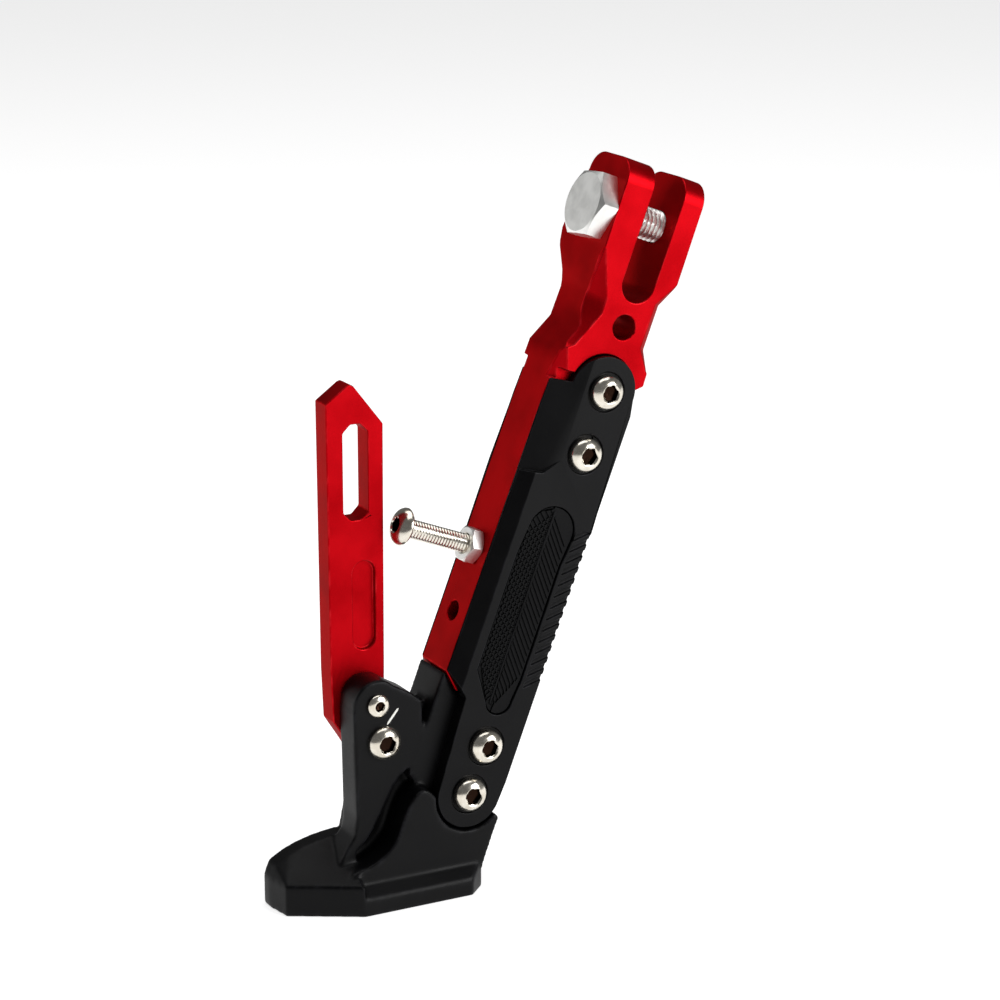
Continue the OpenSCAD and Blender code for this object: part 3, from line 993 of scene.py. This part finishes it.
@dataclass
class ButtonScrew:
    """Button head screw with a hexagon socket, alone or as a pair in one node."""

    node: str
    side: Side
    pair: bool = False
    thread_d: float = 5.9
    pitch: float = 1.0
    head_d: float = 10.5
    head_h: float = 3.3
    socket_af: float = 4.6
    sink: float = 0.5  # how far the head stands in its recess
    rim: float = 0.8  # upright edge of the head
    floor_share: float = 0.42  # height of the socket's floor over that of the head
    spin: float = 50.0  # most that a screw is turned at random, in degrees

    def centres(self) -> list[Vector]:
        """Middles of the head seats, worked out from the node's box.

        The box ends at the mouth of the socket, below the top of the full dome, so the seats
        of the larger screws lie 0.35 mm deeper than in CAD.

        Returns:
            One point for a single screw, and two for a pair, in metres.
        """
        low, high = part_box(self.node)
        out = self.side.value
        seat = (low.y if out < 0 else high.y) - out * self.head_h * MM
        radius = self.head_d / 2 * MM
        if not self.pair:
            return [Vector(((low.x + high.x) / 2, seat, (low.z + high.z) / 2))]
        return [
            Vector((high.x - radius, seat, high.z - radius)),
            Vector((low.x + radius, seat, low.z + radius)),
        ]

    def length(self) -> float:
        """Length under the head, in millimetres."""
        low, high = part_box(self.node)
        return (high.y - low.y) / MM - self.head_h

    def mesh(self) -> bpy.types.Mesh:
        """Lofts the whole screw about the middle of its seat, head towards +z.

        Returns:
            The screw's mesh, with its socket marked for painted shade.
        """
        head = self.head_d / 2
        mouth = hex_radius(self.socket_af, HEX_CORNER) + SOCKET_BEVEL_MM
        end = math.acos(mouth / head)
        core = self.thread_d / 2 - 0.6
        rings = [round_ring(core - 0.5, -self.length()), round_ring(core, -self.length() + 0.5)]
        rings += Thread(self.thread_d, self.pitch).rings(-self.length() + 0.8, -self.sink - 1.0)
        rings += [round_ring(core, -self.sink - 0.8), round_ring(core, -self.sink)]
        rings += [round_ring(head - 0.25, -self.sink), round_ring(head, -self.sink + 0.25)]
        arcs = 10
        for k in range(arcs + 1):
            turn = end * k / arcs
            rise = (self.head_h - self.rim) * math.sin(turn) / math.sin(end)
            rings.append(round_ring(head * math.cos(turn), self.rim + rise))
        deep = self.head_h * self.floor_share
        rings += [
            round_ring(mouth - 0.12, self.head_h - 0.03),
            hex_ring(self.socket_af + 0.1, self.head_h - 0.35),
            hex_ring(self.socket_af, self.head_h - 0.5),
            hex_ring(self.socket_af, deep),
            round_ring(self.socket_af / 2 - 0.2, deep),
            round_ring(0.15, deep - 0.5),
        ]
        mesh = loft(self.node, rings)
        # the socket's inside is darkened with painted shade
        paint_socket_shade(mesh, mouth, 0.2, self.head_h - 0.3)
        return mesh

    def build(self, nickel: bpy.types.Material, rows: RowTree) -> None:
        """Sets the screws in their seats, each turned as it was left by the key.

        Args:
            nickel: Material of the screws.
            rows: Tree that lays them.
        """
        centres = self.centres()
        step = centres[-1] - centres[0]
        screws = rows.lay(
            f"{self.node}_turned",
            self.mesh(),
            {
                "Count": len(centres),
                "First": tuple(centres[0]),
                "Step": tuple(step),
                "Turn": (math.radians(-90 * self.side.value), 0.0, 0.0),
                "Spin": math.radians(self.spin),
                "Material": nickel,
            },
        )
        smooth(screws.data, degrees=30)
        dress(screws, nickel, Slot.SCREW, Body.LEG, self.node)


@dataclass
class PivotBolt:
    """Hexagon bolt on the pivot axis, threaded where it crosses the clevis gap."""

    head_at: float = -15.4  # outer face of the toe-side ear
    across_flats: float = 19.0
    head_h: float = 6.0
    shank_d: float = 9.96
    pitch: float = 1.5
    tip: float = 12.0
    thread_from: float = -6.5
    turned: float = 24.0  # degrees that the head is turned about its axis
    chamfer: float = 0.45

    def build(self, zinc: bpy.types.Material) -> None:
        """Lofts the bolt from the top of its head to its tip and dresses it.

        Args:
            zinc: Material of the bolt.
        """
        face = self.head_at - self.head_h
        disc = self.across_flats / 2 - self.chamfer
        rings = [
            round_ring(0.4, -face),
            round_ring(disc, -face),
            hex_ring(self.across_flats, -face, cone=disc),
            hex_ring(self.across_flats, -self.head_at),
            round_ring(self.shank_d / 2 - 0.2, -self.head_at),
            round_ring(self.shank_d / 2, -self.head_at - 0.4),
            round_ring(self.shank_d / 2, -self.thread_from),
        ]
        thread = Thread(self.shank_d, self.pitch, steps=8)
        rings += reversed(thread.rings(-self.tip + 0.6, -self.thread_from - 0.2))
        rings.append(round_ring(self.shank_d / 2 - 1.2, -self.tip))
        bolt = new_object("pivot_hex_bolt", loft("pivot_hex_bolt", rings))
        axis = Matrix.Rotation(math.radians(-90), 4, "Y")
        spin = Matrix.Rotation(math.radians(30 - self.turned), 4, "Z")
        bolt.data.transform(LEG @ axis @ spin)
        smooth(bolt.data, degrees=24)
        dress(bolt, zinc, Slot.ZINC, Body.PIVOT, "pivot_bolt")


@dataclass
class SpringPost:
    """Long screw that holds the return spring, jammed by a thin lock nut."""

    along: float = -107.4
    face: float = 18.52  # side of the arm at the post
    nut_t: float = 4.0
    free: float = 21.0
    grip: float = 9.0
    thread_d: float = 5.9
    pitch: float = 1.0
    head_d: float = 11.6
    head_h: float = 3.4
    socket_af: float = 4.0
    nut_af: float = 10.0
    thread_share: float = 0.16  # shallow, so that the post reads as nearly smooth

    def placed(self, name: str, mesh: bpy.types.Mesh) -> bpy.types.Object:
        """Turns a mesh drawn outwards along z onto the axis of the post.

        Args:
            name: Name of the new object.
            mesh: Mesh to place.

        Returns:
            The placed object.
        """
        axis = Matrix.Rotation(math.radians(-90), 4, "Y")
        mesh.transform(LEG @ Matrix.Translation((0, 0, self.along * MM)) @ axis)
        smooth(mesh, degrees=28)
        return new_object(name, mesh)

    def build(self, nickel: bpy.types.Material, zinc: bpy.types.Material) -> None:
        """Builds the post and its nut.

        Args:
            nickel: Material of the post.
            zinc: Material of the nut.
        """
        reach = self.face + self.nut_t + self.free
        head = self.head_d / 2
        mouth = hex_radius(self.socket_af, HEX_CORNER) + SOCKET_BEVEL_MM
        inner = self.face - self.grip
        rings = [round_ring(self.thread_d / 2 - 0.9, inner)]
        thread = Thread(self.thread_d, self.pitch, share=self.thread_share)
        rings += thread.rings(inner + 0.6, reach - 0.8)
        rings += [round_ring(self.thread_d / 2 - 0.3, reach), round_ring(head - 0.3, reach)]
        end = math.acos(mouth / head)
        arcs = 12
        for k in range(arcs + 1):
            turn = end * k / arcs
            rise = (self.head_h - 0.5) * math.sin(turn) / math.sin(end)
            rings.append(round_ring(head * math.cos(turn), reach + 0.5 + rise))
        top = reach + self.head_h
        rings += [
            hex_ring(self.socket_af + 0.1, top - 0.35),
            hex_ring(self.socket_af, top - 0.5),
            hex_ring(self.socket_af, top - 2.0),
            round_ring(0.2, top - 2.4),
        ]
        screw = loft("spring_post_screw", rings)
        # the socket's inside is darkened with painted shade
        paint_socket_shade(screw, mouth, reach, top - 0.4)
        post = self.placed("spring_post_screw", screw)
        dress(post, nickel, Slot.SCREW, Body.LEG, "spring_post")
        cone = self.nut_af / 2 - 0.1
        bore = self.thread_d / 2 + 0.05
        low, high = self.face, self.face + self.nut_t
        upper = hex_ring(self.nut_af, high, cone)
        flipped = [Vector((p.x, p.y, (low + high) * MM - p.z)) for p in upper]
        rings = [
            round_ring(bore, low + 0.4),
            round_ring(bore + 0.4, low),
            round_ring(cone, low),
            flipped,
            upper,
            round_ring(cone, high),
            round_ring(bore + 0.4, high),
            round_ring(bore, high - 0.4),
        ]
        nut = self.placed("post_lock_nut", loft("post_lock_nut", rings, loop=True))
        dress(nut, zinc, Slot.ZINC, Body.LEG, "spring_post_nut")


# ---- studio ----------------------------------------------------------------------------


@dataclass
class Softbox:
    """A rectangular studio light, aimed at the stand."""

    name: str
    place: tuple[float, float, float]
    size: tuple[float, float]
    watts: float
    aim: tuple[float, float, float] = (-0.05, 0.0, -0.1)

    def build(self) -> None:
        """Adds the light to the scene."""
        data = bpy.data.lights.new(self.name, "AREA")
        data.shape = "RECTANGLE"
        data.size, data.size_y = self.size
        data.energy = self.watts
        lamp = bpy.data.objects.new(self.name, data)
        lamp.location = self.place
        toward = Vector(self.aim) - Vector(self.place)
        lamp.rotation_euler = toward.to_track_quat("-Z", "Y").to_euler()
        bpy.context.scene.collection.objects.link(lamp)


@dataclass
class Studio:
    """Pale floor, soft light and the camera."""

    floor_z: float = -0.1975
    floor_half: float = 6.0
    camera_place: tuple[float, float, float] = (-0.4591, -0.7740, 0.1653)
    heading: float = 28.0  # degrees to the right of +y
    dip: float = 15.65  # degrees below the horizon
    lens: float = 109.56
    sensor: float = 36.0
    sky: float = 0.15
    paper: str = "#dcdcdc"
    glow: float = 0.68  # light that the floor gives off, so that it stays pale far away

    def build(self) -> None:
        """Builds the floor, the lights, the surroundings and the camera."""
        self.build_floor()
        self.build_surroundings()
        for box in (
            Softbox("key", (0.62, -0.98, 0.3), (0.7, 0.7), 13.0),
            Softbox("back_left", (-1.1, 0.9, 0.25), (0.7, 0.9), 3.0),
            Softbox("overhead", (0.0, 0.2, 1.5), (1.6, 1.6), 15.0),
        ):
            box.build()
        self.build_camera()

    def build_floor(self) -> None:
        """Lays a pale, matt studio floor."""
        half = self.floor_half
        corners = [(-half, -half), (half, -half), (half, half), (-half, half)]
        mesh = bpy.data.meshes.new("floor")
        mesh.from_pydata([(x, y, self.floor_z) for x, y in corners], [], [(0, 1, 2, 3)])
        floor = new_object("floor", mesh)
        paper = bpy.data.materials.new("matt_paper_white")
        paper.use_nodes = True
        shader = paper.node_tree.nodes["Principled BSDF"]
        shader.inputs["Base Color"].default_value = linear(self.paper)
        shader.inputs["Roughness"].default_value = 0.9
        shader.inputs["Specular IOR Level"].default_value = 0.1
        shader.inputs["Emission Color"].default_value = linear("#ffffff")
        shader.inputs["Emission Strength"].default_value = self.glow
        mesh.materials.append(paper)

    def build_surroundings(self) -> None:
        """Fills the room with even, dim white light."""
        world = bpy.data.worlds.new("white_room")
        world.use_nodes = True
        ground = world.node_tree.nodes["Background"]
        ground.inputs["Color"].default_value = linear("#ffffff")
        ground.inputs["Strength"].default_value = self.sky
        bpy.context.scene.world = world

    def build_camera(self) -> None:
        """Sets the camera, level from side to side and dipping towards the stand."""
        turn, dip = math.radians(self.heading), math.radians(self.dip)
        forward = Vector(
            (math.sin(turn) * math.cos(dip), math.cos(turn) * math.cos(dip), -math.sin(dip))
        )
        data = bpy.data.cameras.new("camera")
        data.lens = self.lens
        data.sensor_width = self.sensor
        camera = bpy.data.objects.new("camera", data)
        camera.location = self.camera_place
        camera.rotation_euler = forward.to_track_quat("-Z", "Y").to_euler()
        bpy.context.scene.collection.objects.link(camera)
        bpy.context.scene.camera = camera


def main() -> None:
    """Builds the stand and its studio in order."""
    logging.basicConfig(level=logging.INFO, format="%(message)s")
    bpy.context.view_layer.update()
    bpy.context.scene.view_settings.view_transform = "Standard"
    finishes = {
        Slot.RED: RED_ANODISED.material(),
        Slot.BLACK: BLACK_ANODISED.material(),
        Slot.INSERT: MOULDED_RUBBER.material(),
        Slot.ZINC: ZINC_PLATED.material(),
        Slot.SCREW: NICKEL_PLATED.material(),
    }
    rows = RowTree()
    UpperArm().build(finishes[Slot.RED])
    for side in Side:
        Cover(side).build(finishes, rows)
    # the foot's white stripe is a painted glint
    Foot().build(finishes[Slot.BLACK], PAINTED_GLINT_WHITE.material())
    LeverPlate().build(finishes[Slot.RED])
    PivotBolt().build(finishes[Slot.ZINC])
    SpringPost().build(finishes[Slot.SCREW], finishes[Slot.ZINC])
    ButtonScrew("lever_screw", Side.FRONT, sink=0.0).build(finishes[Slot.SCREW], rows)
    small = ButtonScrew(
        "lever_locating_screw",
        Side.FRONT,
        thread_d=3.9,
        pitch=0.7,
        head_d=7.0,
        head_h=2.0,
        socket_af=2.5,
        sink=0.0,
    )
    small.build(finishes[Slot.SCREW], rows)
    Studio().build()


if __name__ == "__main__":
    main()
